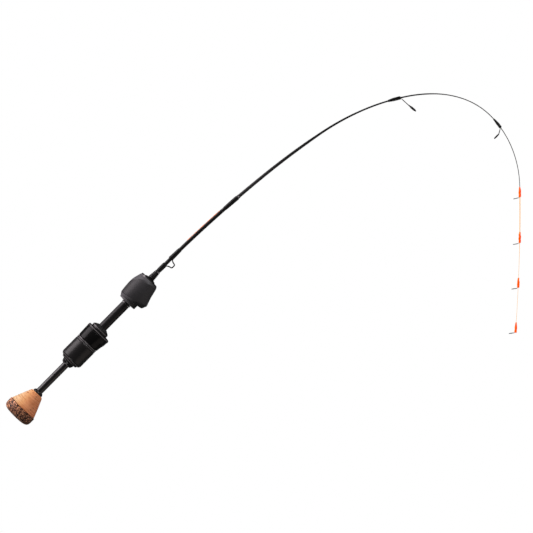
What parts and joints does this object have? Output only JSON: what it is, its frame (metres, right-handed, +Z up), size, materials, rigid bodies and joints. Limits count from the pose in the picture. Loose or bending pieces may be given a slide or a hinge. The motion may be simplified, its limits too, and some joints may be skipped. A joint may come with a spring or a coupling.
{
  "type": "ice fishing rod",
  "caption": "Short ice fishing rod shown flexed: cork butt, skeleton reel seat with a screw-down hood, moulded foregrip, slender blank, single-foot guides and a flat orange bite tip.",
  "frame": {"origin": "centre of the butt's rear face", "axes": "+Z up, +X forward, so the rod bends in the XZ plane; the handle rises towards +X at 45.3 degrees, the reel side is below it, and +Y is to the rod's left"},
  "size_m": [0.4433, 0.0272, 0.2852],
  "materials": {
    "burl_cork": "satin, sealed",
    "cork": "matt",
    "gloss_black": "polished",
    "satin_black": "satin",
    "soft_touch": "soft-touch matt",
    "rubber": "matt",
    "nylon": "moulded",
    "steel": "polished",
    "dark_metal": "dark plated",
    "ceramic": "polished hard ring",
    "carbon": "clear coated",
    "grey_blank": "clear coated",
    "black_thread": "epoxy over thread",
    "orange_thread": "epoxy over thread",
    "pale_orange": "translucent paint",
    "tape": "paper tape"
  },
  "bodies": {
    "handle": {"butt_cap": "burl_cork", "butt_cork": "cork", "butt_check": "satin_black", "handle_tube": "gloss_black", "seat_thread": "nylon", "seat_tube": "satin_black", "seat_front_collar": "dark_metal", "front_saddle": "satin_black", "foregrip": "soft_touch", "front_check": "satin_black", "ribbed_taper": "rubber", "blank_arbor_rear": "tape", "blank_arbor_front": "tape", "butt_blank": "carbon", "tip_blank": "grey_blank", "taper_trim_ring": "dark_metal", "keeper_wrap_rear": "black_thread", "hook_keeper": "dark_metal", "keeper_wrap_front": "black_thread", "ferrule_wrap": "black_thread", "ferrule_trim_ring": "steel"},
    "hood": {"slide_hood": "gloss_black", "hood_saddle": "satin_black", "nose_bush": "satin_black", "hood_key": "nylon", "retaining_ring": "steel"},
    "knob": {"lock_knob": "satin_black", "knob_flange": "satin_black", "knob_rear_bush": "gloss_black", "trim_ring": "dark_metal"},
    "first_guide": {"guide_1_wrap": "black_thread", "guide_1_frame": "dark_metal", "guide_1_ring": "ceramic"},
    "second_guide": {"guide_2_wrap": "black_thread", "guide_2_frame": "dark_metal", "guide_2_ring": "ceramic"},
    "tip": {"flat_tip": "pale_orange", "tip_wrap_1": "orange_thread", "tip_guide_1": "dark_metal", "tip_wrap_2": "orange_thread", "tip_guide_2": "dark_metal", "tip_wrap_3": "orange_thread", "tip_guide_3": "dark_metal", "tip_wrap_4": "orange_thread", "tip_guide_4": "dark_metal"}
  },
  "joints": [
    {"name": "hood_slide", "type": "slide", "parent": "handle", "child": "hood", "axis": [0.7034, 0, 0.7108], "range_m": [-0.008, 0.004]},
    {"name": "knob_turn", "type": "hinge", "parent": "hood", "child": "knob", "pos_m": [0.04755, 0, 0.04805], "axis": [0.7034, 0, 0.7108], "range_deg": [-1440, 720]},
    {"name": "flex_root", "type": "hinge", "parent": "handle", "child": "first_guide", "pos_m": [0.35292, 0, 0.29287], "axis": [0, 1, 0], "range_deg": [-19.2, 3], "stiffness_Nm_per_rad": 0.4, "deforming": ["tip_blank"]},
    {"name": "flex_middle", "type": "hinge", "parent": "first_guide", "child": "second_guide", "pos_m": [0.4526, 0, 0.27094], "axis": [0, 1, 0], "range_deg": [-66, 10.4]},
    {"name": "flex_tip", "type": "hinge", "parent": "second_guide", "child": "tip", "pos_m": [0.45923, 0, 0.16749], "axis": [0, 1, 0], "range_deg": [-38.4, 6.1]}
  ],
  "couplings": [
    {"joint": "hood_slide", "follows": "knob_turn", "m_per_rad": 0.0003183},
    {"joint": "flex_middle", "follows": "flex_root", "ratio": 3.4286},
    {"joint": "flex_tip", "follows": "flex_root", "ratio": 1.9895}
  ]
}
